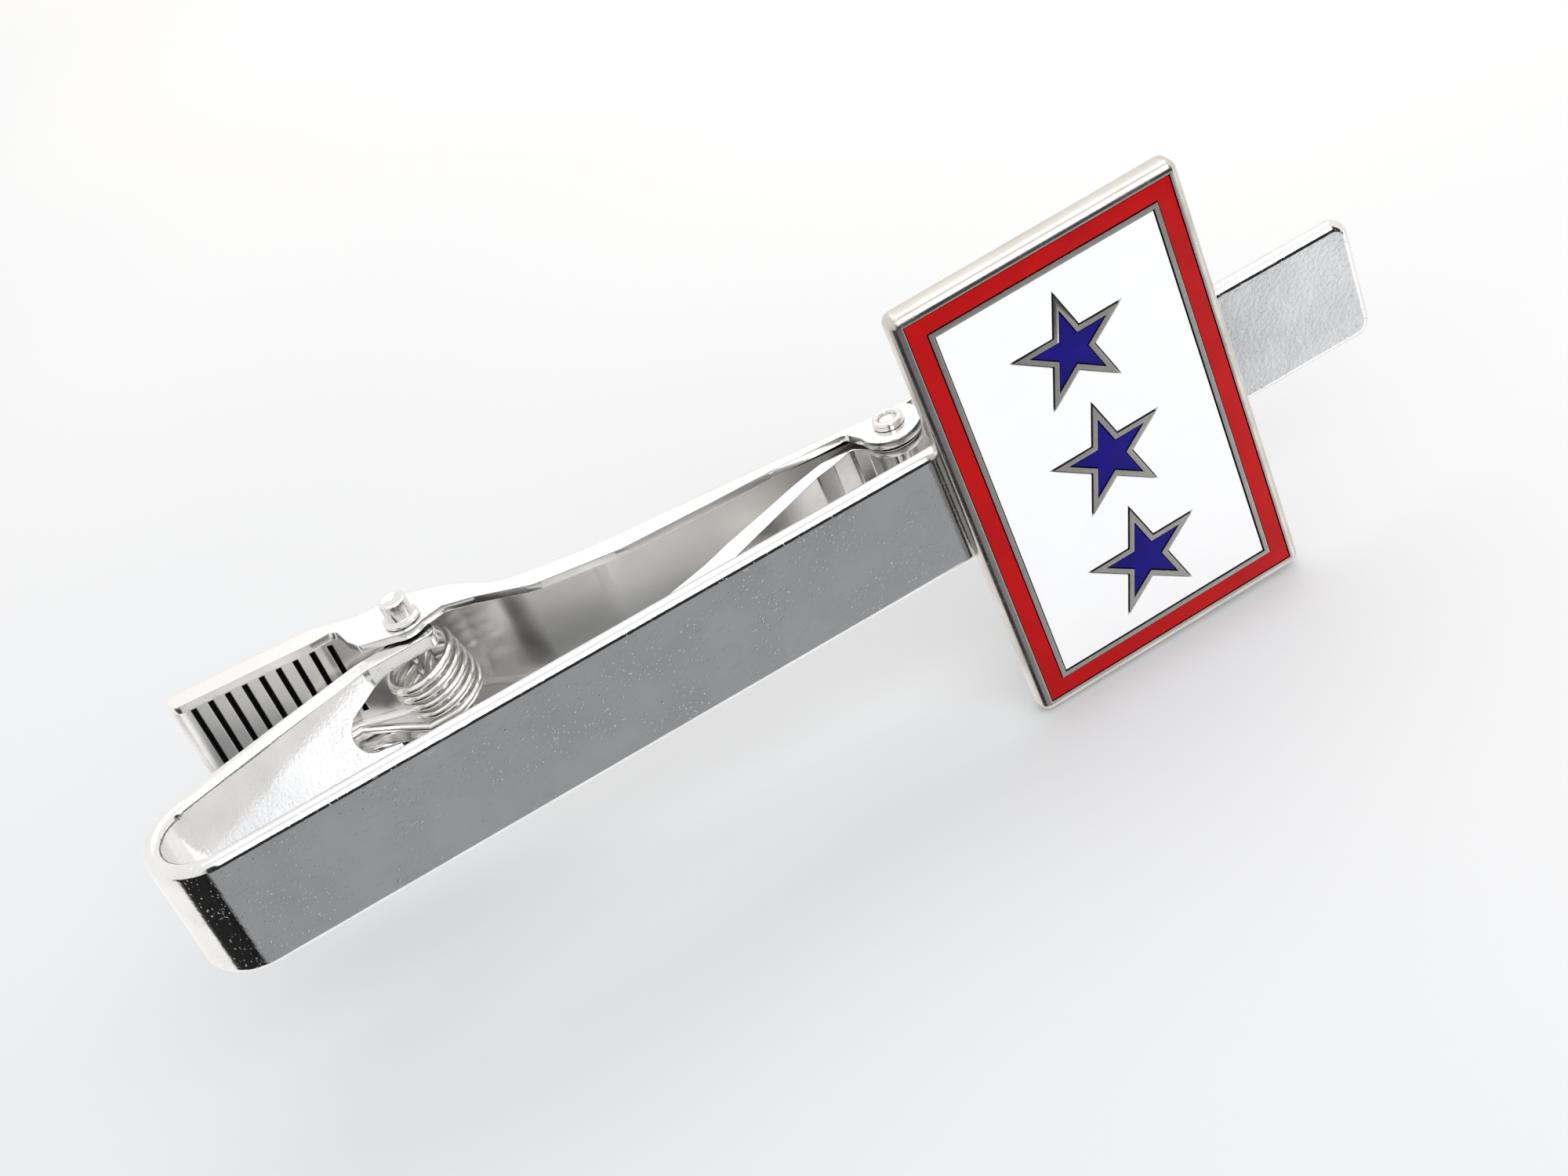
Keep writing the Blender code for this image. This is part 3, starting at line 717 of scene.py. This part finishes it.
def badge_matrix():
    """From the badge's own plane, with its face along +Z, to the frame."""
    place = Matrix.Translation((0, 0, BADGE_CENTRE_Z * MM))
    return place @ Matrix.Rotation(-BADGE_TILT, 4, "Y") @ Matrix.Rotation(math.pi / 2, 4, "X")


def fill_outlines(gap, white_gap):
    """Outlines of the red border, the white field and the three stars, each inset by a gap."""
    width, height = BADGE_SIZE
    red = (width - 2 * RIM, height - 2 * RIM)
    inside = (red[0] - 2 * RED_WIDTH, red[1] - 2 * RED_WIDTH)
    field = (inside[0] - 2 * SEPARATOR, inside[1] - 2 * SEPARATOR)
    heights = [STAR_MIDDLE + STAR_SPACING * k for k in (1, 0, -1)]
    border = [
        rectangle(red[0] - 2 * gap, red[1] - 2 * gap),
        rectangle(inside[0] + 2 * gap, inside[1] + 2 * gap),
    ]
    white = [rectangle(field[0] - 2 * white_gap, field[1] - 2 * white_gap)]
    white += [star(STAR_TIP, y, -white_gap) for y in heights]
    stars = [[star(STAR_TIP, y, STAR_WALL + gap)] for y in heights]
    return [border, white] + stars


def build_badge():
    """The badge plate and its five enamel fills."""
    front = -BADGE_FRONT
    floor = front - ENAMEL_DEPTH
    plate = prism("badge_body", [rectangle(*BADGE_SIZE, BADGE_CORNER)], -BADGE_BACK, front)
    soften(plate, BADGE_EDGE_RADIUS, 5)
    recesses = [prism("recess", outlines, floor, front + 1) for outlines in fill_outlines(0.0, 0.0)]
    combine(plate, recesses, "DIFFERENCE")
    plate.matrix_world = badge_matrix()
    finish_metal(plate, 0.02)
    fills = []
    names = ("red_enamel", "white_enamel", "blue_star_upper", "blue_star_middle", "blue_star_lower")
    for name, outlines in zip(names, fill_outlines(ENAMEL_GAP, WHITE_GAP)):
        fill = prism(name, outlines, floor + ENAMEL_GAP, front - ENAMEL_GAP)
        fill.matrix_world = badge_matrix() @ Matrix.Translation(fill.location)
        finish_metal(fill, 0.03)
        fills.append(fill)
    return plate, fills


def darken_recesses(plate, material):
    """Give the walls between the metal lines and the enamel a dark plate, as painted shade in the
    recesses.
    """
    plate.data.materials.append(material)
    flat = badge_matrix().inverted()
    reach_x = BADGE_SIZE[0] / 2 - RIM + 0.02
    reach_y = BADGE_SIZE[1] / 2 - RIM + 0.02
    for face in plate.data.polygons:
        x, y, z = flat @ face.center / MM
        depth = -BADGE_FRONT - z
        # Recess walls get the dark plate as painted shade.
        if abs(x) < reach_x and abs(y) < reach_y and 0.012 < depth < 2 * ENAMEL_DEPTH:
            face.material_index = 1


# ---------------------------------------------------------------- materials


class Nodes:
    """A material's node tree, with short calls to add and join its nodes."""

    def __init__(self, name, colour, roughness, metallic):
        self.material = bpy.data.materials.new(name)
        self.material.use_nodes = True
        self.tree = self.material.node_tree
        self.shader = self.tree.nodes["Principled BSDF"]
        self.shader.inputs["Base Color"].default_value = (*colour, 1)
        self.shader.inputs["Roughness"].default_value = roughness
        self.shader.inputs["Metallic"].default_value = metallic
        self.place = self.tree.nodes.new("ShaderNodeTexCoord").outputs["Object"]

    def join(self, out, into):
        """Link an output to an input."""
        self.tree.links.new(out, into)

    def stretched(self, scale, turn=(0, 0, 0)):
        """Object coordinates scaled per axis, so one unit of texture is 1/scale metres."""
        node = self.tree.nodes.new("ShaderNodeMapping")
        node.inputs["Scale"].default_value = scale
        node.inputs["Rotation"].default_value = turn
        self.join(self.place, node.inputs["Vector"])
        return node.outputs["Vector"]

    def noise(self, scale, detail=3.0, turn=(0, 0, 0)):
        """Smooth noise from 0 to 1."""
        node = self.tree.nodes.new("ShaderNodeTexNoise")
        node.inputs["Scale"].default_value = 1.0
        node.inputs["Detail"].default_value = detail
        self.join(self.stretched(scale, turn), node.inputs["Vector"])
        return node.outputs["Fac"]

    def ramp(self, value, low, high, to_low=0.0, to_high=1.0):
        """A value mapped from one range to another and held at its ends."""
        node = self.tree.nodes.new("ShaderNodeMapRange")
        node.inputs["From Min"].default_value = low
        node.inputs["From Max"].default_value = high
        node.inputs["To Min"].default_value = to_low
        node.inputs["To Max"].default_value = to_high
        self.join(value, node.inputs["Value"])
        return node.outputs["Result"]

    def maths(self, operation, first, second):
        """An operation on a value and on a second value or a number."""
        node = self.tree.nodes.new("ShaderNodeMath")
        node.operation = operation
        self.join(first, node.inputs[0])
        if isinstance(second, float):
            node.inputs[1].default_value = second
        else:
            self.join(second, node.inputs[1])
        return node.outputs[0]

    def mix(self, factor, first, second):
        """A colour between two colours."""
        node = self.tree.nodes.new("ShaderNodeMix")
        node.data_type = "RGBA"
        node.inputs["A"].default_value = (*first, 1)
        node.inputs["B"].default_value = (*second, 1)
        self.join(factor, node.inputs["Factor"])
        return node.outputs["Result"]

    def bump(self, height, strength, distance):
        """Tilt the shading by a height, with the distance in metres."""
        node = self.tree.nodes.new("ShaderNodeBump")
        node.inputs["Strength"].default_value = strength
        node.inputs["Distance"].default_value = distance
        self.join(height, node.inputs["Height"])
        self.join(node.outputs["Normal"], self.shader.inputs["Normal"])


def scratch_field(nodes):
    """Thin scratches at several angles, 1 on a scratch and 0 off it."""
    total = None
    for turn in (0.35, -0.6, 1.25, 2.3):
        lines = nodes.noise((900, 900, 22000), 1.0, (0, turn, 0.3))
        line = nodes.ramp(lines, 0.725, 0.775)
        gate = nodes.ramp(nodes.noise((190, 190, 190), 2.0, (turn, 0, turn)), 0.56, 0.68)
        line = nodes.maths("MULTIPLY", line, gate)
        total = line if total is None else nodes.maths("MAXIMUM", total, line)
    return total


def plated(name, colour, worn, roughness, scratches=1.0, grain=1.0):
    """Bright plate on pressed metal: soft mottling, a fine grain and thin scratches."""
    nodes = Nodes(name, colour, roughness, 1.0)
    mottle = nodes.noise((420, 420, 420), 4.0)
    nodes.join(nodes.mix(nodes.ramp(mottle, 0.35, 0.7), colour, worn), nodes.shader.inputs["Base Color"])
    grains = nodes.noise((5200, 5200, 5200), 2.0)
    scratch = scratch_field(nodes)
    rough = nodes.ramp(mottle, 0.3, 0.7, roughness * 0.8, roughness * 1.25)
    rough = nodes.maths("ADD", rough, nodes.maths("MULTIPLY", scratch, 0.1 * scratches))
    nodes.join(rough, nodes.shader.inputs["Roughness"])
    ripple = nodes.maths("MULTIPLY", nodes.noise((700, 700, 700), 2.0), 0.6)
    specks = nodes.ramp(nodes.noise((7600, 7600, 7600), 1.0), 0.68, 0.73)
    specks = nodes.maths("MULTIPLY", specks, nodes.ramp(mottle, 0.42, 0.6))
    height = nodes.maths("ADD", nodes.maths("MULTIPLY", grains, 0.5 * grain), ripple)
    height = nodes.maths("ADD", height, nodes.maths("MULTIPLY", specks, 1.2 * grain))
    height = nodes.maths("SUBTRACT", height, nodes.maths("MULTIPLY", scratch, 0.42 * scratches))
    nodes.bump(height, 0.5, 0.000018)
    return nodes.material


def enamel(name, colour, deep, roughness=0.07):
    """Hard enamel, ground flush and polished, with faint clouds of tone."""
    nodes = Nodes(name, colour, roughness, 0.0)
    nodes.shader.inputs["Specular IOR Level"].default_value = 0.3
    cloud = nodes.ramp(nodes.noise((520, 520, 520), 3.0), 0.35, 0.7)
    nodes.join(nodes.mix(cloud, colour, deep), nodes.shader.inputs["Base Color"])
    nodes.join(nodes.ramp(cloud, 0.0, 1.0, roughness, roughness * 1.8), nodes.shader.inputs["Roughness"])
    nodes.bump(nodes.noise((900, 900, 900), 2.0), 0.12, 0.00001)
    return nodes.material


def dull_solder():
    """Grey solder with a rough, lumpy surface."""
    nodes = Nodes("solder_grey", (0.3, 0.29, 0.28), 0.5, 1.0)
    lumps = nodes.noise((1600, 1600, 1600), 4.0)
    nodes.join(nodes.mix(lumps, (0.2, 0.19, 0.18), (0.45, 0.44, 0.42)), nodes.shader.inputs["Base Color"])
    nodes.bump(lumps, 0.6, 0.00003)
    return nodes.material


# ---------------------------------------------------------------- studio


def build_floor():
    """A large pale floor just under the badge, with painted light and shade in its colour. Bright metal
    mirrors the room and not the floor.
    """
    mesh = bpy.data.meshes.new("floor")
    shape = bmesh.new()
    bmesh.ops.create_grid(shape, x_segments=1, y_segments=1, size=2.0)
    shape.to_mesh(mesh)
    shape.free()
    floor = linked("floor", mesh)
    floor.location = (0, 0, FLOOR_Z * MM)
    floor.visible_glossy = False
    nodes = Nodes("floor_painted_light", (0.7, 0.7, 0.7), 0.9, 0.0)
    nodes.shader.inputs["Specular IOR Level"].default_value = 0.0
    across = nodes.tree.nodes.new("ShaderNodeSeparateXYZ")
    nodes.join(nodes.place, across.inputs["Vector"])
    # Painted light: the colour is darker and bluer near the camera and on the left, and brighter far away,
    # with soft painted clouds of light and shade.
    away = nodes.ramp(across.outputs["Y"], -0.08, 0.12)
    right = nodes.ramp(across.outputs["X"], -0.07, 0.03, -0.6, 0.15)
    cloud = nodes.maths("ADD", away, nodes.ramp(nodes.noise((14, 14, 14), 1.0), 0.2, 0.8, -0.15, 0.15))
    cloud = nodes.maths("ADD", cloud, right)
    tint = nodes.mix(nodes.ramp(cloud, 0.0, 1.0), FLOOR_NEAR_PAINTED_SHADE, FLOOR_FAR_PAINTED_LIGHT)
    nodes.join(tint, nodes.shader.inputs["Base Color"])
    floor.data.materials.append(nodes.material)


class Room:
    """The world's node tree, with short calls for bands and patches of direction."""

    def __init__(self):
        world = bpy.data.worlds.new("studio")
        world.use_nodes = True
        bpy.context.scene.world = world
        self.tree = world.node_tree
        self.background = self.tree.nodes["Background"]
        split = self.tree.nodes.new("ShaderNodeSeparateXYZ")
        direction = self.tree.nodes.new("ShaderNodeTexCoord").outputs["Generated"]
        self.tree.links.new(direction, split.inputs["Vector"])
        front = self.maths("MULTIPLY", split.outputs["Y"], -1.0)
        self.azimuth = self.maths("ARCTAN2", split.outputs["X"], front)
        self.elevation = self.maths("ARCSINE", split.outputs["Z"], 0.0)

    def maths(self, operation, first, second):
        """An operation on two values, each an output or a number."""
        node = self.tree.nodes.new("ShaderNodeMath")
        node.operation = operation
        for value, socket in ((first, node.inputs[0]), (second, node.inputs[1])):
            if isinstance(value, float):
                socket.default_value = value
            else:
                self.tree.links.new(value, socket)
        return node.outputs[0]

    def band(self, angle, centre, half, soft):
        """1 where an angle is within half of the centre, and 0 beyond the soft edge, in degrees."""
        off = self.maths("ABSOLUTE", self.maths("SUBTRACT", angle, math.radians(centre)), 0.0)
        fade = self.tree.nodes.new("ShaderNodeMapRange")
        fade.interpolation_type = "SMOOTHSTEP"
        fade.inputs["From Min"].default_value = math.radians(half)
        fade.inputs["From Max"].default_value = math.radians(half + soft)
        fade.inputs["To Min"].default_value = 1.0
        fade.inputs["To Max"].default_value = 0.0
        self.tree.links.new(off, fade.inputs["Value"])
        return fade.outputs["Result"]


def build_room():
    """A bright room, with soft dark patches in front for polished metal to mirror.

    Azimuth 0 is straight in front of the badge and grows toward its right.
    """
    room = Room()
    # Each patch: azimuth, half width, soft edge; elevation, half height, soft edge; its brightness.
    patches = [
        ((-9, 25, 15), (-40, 15, 10), 0.345),
        ((-60, 25, 5), (-35, 18, 12), 0.02),
        ((10, 36, 12), (4, 31, 4), 0.03),
        ((50, 15, 6), (-36, 16, 12), 1.4),
    ]
    light = None
    for across, upward, level in patches:
        mask = room.maths("MULTIPLY", room.band(room.azimuth, *across), room.band(room.elevation, *upward))
        kept = room.maths("SUBTRACT", 1.0, room.maths("MULTIPLY", mask, 1.0 - level))
        light = kept if light is None else room.maths("MULTIPLY", light, kept)
    room.tree.links.new(light, room.background.inputs["Strength"])
    tint = room.tree.nodes.new("ShaderNodeMix")
    tint.data_type = "RGBA"
    tint.inputs["A"].default_value = ROOM_WARM
    tint.inputs["B"].default_value = ROOM_COOL
    room.tree.links.new(room.band(room.azimuth, 0, 20, 50), tint.inputs["Factor"])
    room.tree.links.new(tint.outputs["Result"], room.background.inputs["Color"])


def add_softbox(name, place, target, size, power, colour):
    """A square area light aimed at a point."""
    data = bpy.data.lights.new(name, "AREA")
    data.size = size
    data.energy = power
    data.color = colour
    light = linked(name, data)
    light.location = place
    light.rotation_euler = (Vector(target) - Vector(place)).to_track_quat("-Z", "Y").to_euler()
    return light


def build_camera():
    """The camera, from its place and its right and up directions."""
    data = bpy.data.cameras.new("camera")
    data.lens = CAMERA_LENS
    data.sensor_width = 36.0
    data.clip_start = 0.005
    data.clip_end = 20.0
    camera = linked("camera", data)
    right = Vector(CAMERA_RIGHT).normalized()
    up = Vector(CAMERA_UP)
    up = (up - right * up.dot(right)).normalized()
    back = right.cross(up)
    turn = Matrix((right, up, back)).transposed().to_4x4()
    camera.matrix_world = Matrix.Translation(Vector(CAMERA_PLACE) * MM) @ turn
    bpy.context.scene.camera = camera


def dress(obj, material, body, nodes):
    """Give a piece its material, and say what it rides on and stands for."""
    obj.data.materials.clear()
    obj.data.materials.append(material)
    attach(obj, body)
    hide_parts(*nodes)


def main():
    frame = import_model()
    build_camera()
    build_floor()
    build_room()
    add_softbox("key", (0.12, 0.28, 0.5), (0, 0, 0), 0.5, 0.8, (1.0, 0.99, 0.97))
    add_softbox("fill", (0.1, -0.55, 0.4), (0, 0, 0), 0.6, 2.4, (0.98, 0.99, 1.0))
    scene = bpy.context.scene
    scene.view_settings.view_transform = "Standard"

    silver = plated("silver_plate", (0.86, 0.86, 0.86), (0.78, 0.78, 0.78), 0.10)
    pressed = plated("pressed_plate", (0.90, 0.89, 0.88), (0.83, 0.83, 0.82), 0.22, 0.4, 0.6)
    pins = plated("pin_plate", (0.84, 0.83, 0.82), (0.74, 0.74, 0.73), 0.12, 0.3)
    wire = plated("wire_plate", (0.90, 0.89, 0.86), (0.80, 0.79, 0.76), 0.2, 0.2)
    nickel = plated("badge_nickel", (0.66, 0.635, 0.60), (0.54, 0.515, 0.48), 0.26, 0.3, 0.5)
    dull = plated("inner_plate", (0.93, 0.92, 0.905), (0.87, 0.865, 0.855), 0.34, 0.1, 0.15)
    # A near-black plate: painted shade on the badge's recess walls, and painted shade and oxide in the
    # grip's valleys.
    shade_and_oxide = plated("painted_shade_and_oxide", (0.05, 0.05, 0.05), (0.03, 0.03, 0.03), 0.4, 0.0)

    dress(build_front_bar(), silver, "bar", ["front_bar"])
    lever = build_lever()
    dress(lever, pressed, "lever_body", ["lever"])
    finish_inner_face(lever, dull, shade_and_oxide)
    dress(build_jaw_shoe(), pressed, "shoe_body", ["jaw_shoe"])
    dress(build_pivot_pin(), pins, "bar", ["pivot_pin"])
    dress(build_shoe_pin(), pins, "lever_body", ["shoe_pin"])

    spring = build_spring()
    spring.data.materials.append(wire)
    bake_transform(spring)
    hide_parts("torsion_spring")

    plate, fills = build_badge()
    dress(plate, nickel, "bar", ["badge_plate"])
    # Painted shade on the walls of the badge's recesses.
    darken_recesses(plate, shade_and_oxide)
    red = enamel("red_enamel_gloss", (0.50, 0.002, 0.003), (0.42, 0.001, 0.002))
    white = enamel("white_enamel_gloss", (0.97, 0.97, 0.97), (0.955, 0.955, 0.96))
    blue = enamel("blue_enamel_gloss", (0.006, 0.002, 0.20), (0.004, 0.001, 0.13))
    dress(fills[0], red, "bar", ["red_enamel_border"])
    dress(fills[1], white, "bar", ["white_enamel_field"])
    for fill, place in zip(fills[2:], ("upper", "middle", "lower")):
        dress(fill, blue, "bar", ["blue_enamel_star_" + place])
    solder = frame["nodes"]["badge_solder"]
    solder.data.materials.clear()
    solder.data.materials.append(dull_solder())


main()
